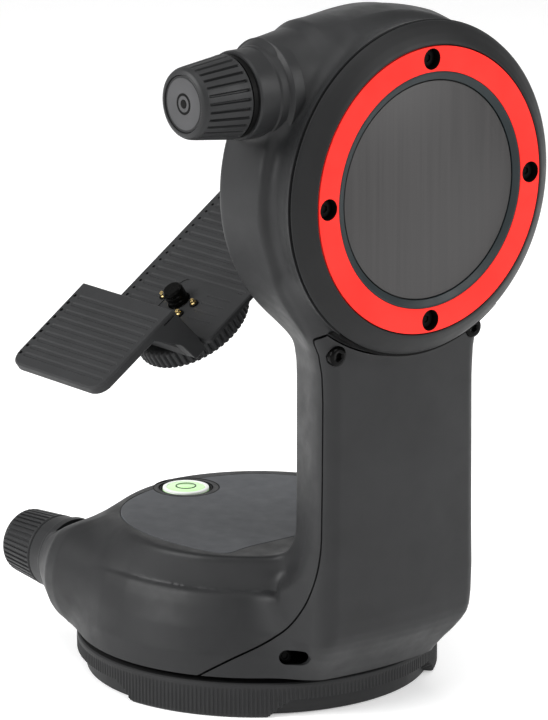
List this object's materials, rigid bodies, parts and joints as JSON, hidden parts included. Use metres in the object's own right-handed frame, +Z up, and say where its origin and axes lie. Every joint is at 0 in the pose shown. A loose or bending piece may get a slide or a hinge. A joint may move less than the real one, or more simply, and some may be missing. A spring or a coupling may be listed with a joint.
{
  "type": "two-axis fine-adjust meter adapter",
  "caption": "Two-axis pan and tilt adapter on a round tripod base: one-armed turret, disc head, ribbed cradle for a handheld meter, fine-drive knobs and a bullseye level.",
  "frame": {"origin": "On the vertical (azimuth) axis, at the floor of the blind tripod socket, 8 mm above the plane the feet rest on", "axes": "+Z up along the azimuth axis; +X towards the arm and the disc head, along the tilt axis; -Y towards the tilt knob's side"},
  "size_m": [0.1481, 0.1268, 0.2023],
  "materials": {
    "body_plastic": "fine matte moulded texture",
    "base_plastic": "satin moulded plastic with knurling",
    "cradle_plastic": "satin ribbed plastic",
    "black_plastic": "satin black",
    "deck_plastic": "satin blue-grey",
    "knob_face": "satin turned",
    "signal_red": "satin",
    "brushed_face": "dark anodised, brushed",
    "black_steel": "black oxide",
    "steel": "turned",
    "brass": "machined",
    "gold_contact": "gold plated",
    "vial_white": "moulded",
    "vial_green": "clear acrylic over green liquid",
    "code_disc": "clear disc with a fine track",
    "circuit_board": "solder mask"
  },
  "bodies": {
    "base": {"base_ring": "base_plastic", "base_plate": "black_plastic", "base_screw_1": "steel", "base_screw_2": "steel", "base_screw_3": "steel", "tripod_bush": "brass", "spindle": "steel", "spindle_nut": "steel", "azimuth_code_disc": "code_disc"},
    "turret": {"turret_housing": "body_plastic", "turret_floor": "black_plastic", "arm_cover": "body_plastic", "arm_screw_1": "black_steel", "arm_screw_2": "black_steel", "arm_screw_3": "black_steel", "arm_screw_4": "black_steel", "deck_panel": "deck_plastic", "vial_cup": "vial_white", "vial_glass": "vial_green", "vial_bezel": "black_plastic", "bearing_bridge": "steel", "azimuth_bearing_lower": "steel", "azimuth_bearing_upper": "steel", "azimuth_reader_board": "circuit_board", "azimuth_worm_bush": "brass", "tilt_worm_bush": "brass", "head_cap": "black_plastic", "red_ring": "signal_red", "ring_screw_1": "black_steel", "ring_screw_2": "black_steel", "ring_screw_3": "black_steel", "ring_screw_4": "black_steel", "inner_ring": "deck_plastic", "centre_plate": "brushed_face", "tilt_bearing_inner": "steel", "tilt_bearing_outer": "steel", "tilt_reader_board": "circuit_board", "main_board": "circuit_board"},
    "azimuth_fine_knob": {"azimuth_knob": "body_plastic", "azimuth_knob_cap": "knob_face", "azimuth_worm": "steel"},
    "azimuth_slip_wheel": {"azimuth_wheel": "brass", "azimuth_clutch_washer": "steel"},
    "tilt_fine_knob": {"tilt_knob": "body_plastic", "tilt_knob_cap": "knob_face", "tilt_worm": "steel"},
    "tilt_slip_wheel": {"tilt_wheel": "brass", "tilt_clutch_washer": "steel"},
    "cradle": {"cradle_plate": "cradle_plastic", "cradle_bracket": "body_plastic", "cradle_screw_1": "steel", "cradle_screw_2": "steel", "tilt_shaft": "steel", "tilt_code_disc": "code_disc"},
    "clamp": {"clamp_wheel": "cradle_plastic", "clamp_stud": "black_steel"},
    "shelf": {"rest_shelf": "cradle_plastic", "shelf_pin": "steel"},
    "contact_1": {"contact_pin_1": "gold_contact"},
    "contact_2": {"contact_pin_2": "gold_contact"}
  },
  "joints": [
    {"name": "azimuth", "type": "hinge", "parent": "base", "child": "turret", "pos_m": [0, 0, 0], "axis": [0, 0, 1], "continuous": true},
    {"name": "tilt", "type": "hinge", "parent": "turret", "child": "cradle", "pos_m": [0.03, 0, 0.14675], "axis": [1, 0, 0], "range_deg": [-98.6, 55.4]},
    {"name": "azimuth_fine", "type": "hinge", "parent": "turret", "child": "azimuth_fine_knob", "pos_m": [-0.06, -0.0306, 0.0176], "axis": [1, 0, 0], "continuous": true},
    {"name": "azimuth_slip", "type": "hinge", "parent": "turret", "child": "azimuth_slip_wheel", "pos_m": [0, 0, 0.0176], "axis": [0, 0, 1], "continuous": true},
    {"name": "tilt_fine", "type": "hinge", "parent": "turret", "child": "tilt_fine_knob", "pos_m": [0.052, -0.06, 0.17607], "axis": [0, 1, 0], "continuous": true},
    {"name": "tilt_slip", "type": "hinge", "parent": "turret", "child": "tilt_slip_wheel", "pos_m": [0.052, 0, 0.14675], "axis": [1, 0, 0], "continuous": true},
    {"name": "clamp_turn", "type": "hinge", "parent": "cradle", "child": "clamp", "pos_m": [0, -0.03852, 0.12018], "axis": [0, -0.5678, 0.8231], "continuous": true},
    {"name": "shelf_fold", "type": "hinge", "parent": "cradle", "child": "shelf", "pos_m": [0, -0.03779, 0.09675], "axis": [1, 0, 0], "range_deg": [0, 90]},
    {"name": "contact_1_press", "type": "slide", "parent": "cradle", "child": "contact_1", "axis": [0, -0.5678, 0.8231], "range_m": [-0.0012, 0], "stiffness_N_per_m": 20},
    {"name": "contact_2_press", "type": "slide", "parent": "cradle", "child": "contact_2", "axis": [0, -0.5678, 0.8231], "range_m": [-0.0012, 0], "stiffness_N_per_m": 20}
  ],
  "couplings": [
    {"joint": "azimuth_slip", "follows": "azimuth_fine", "ratio": -0.025},
    {"joint": "tilt_slip", "follows": "tilt_fine", "ratio": 0.026316}
  ]
}
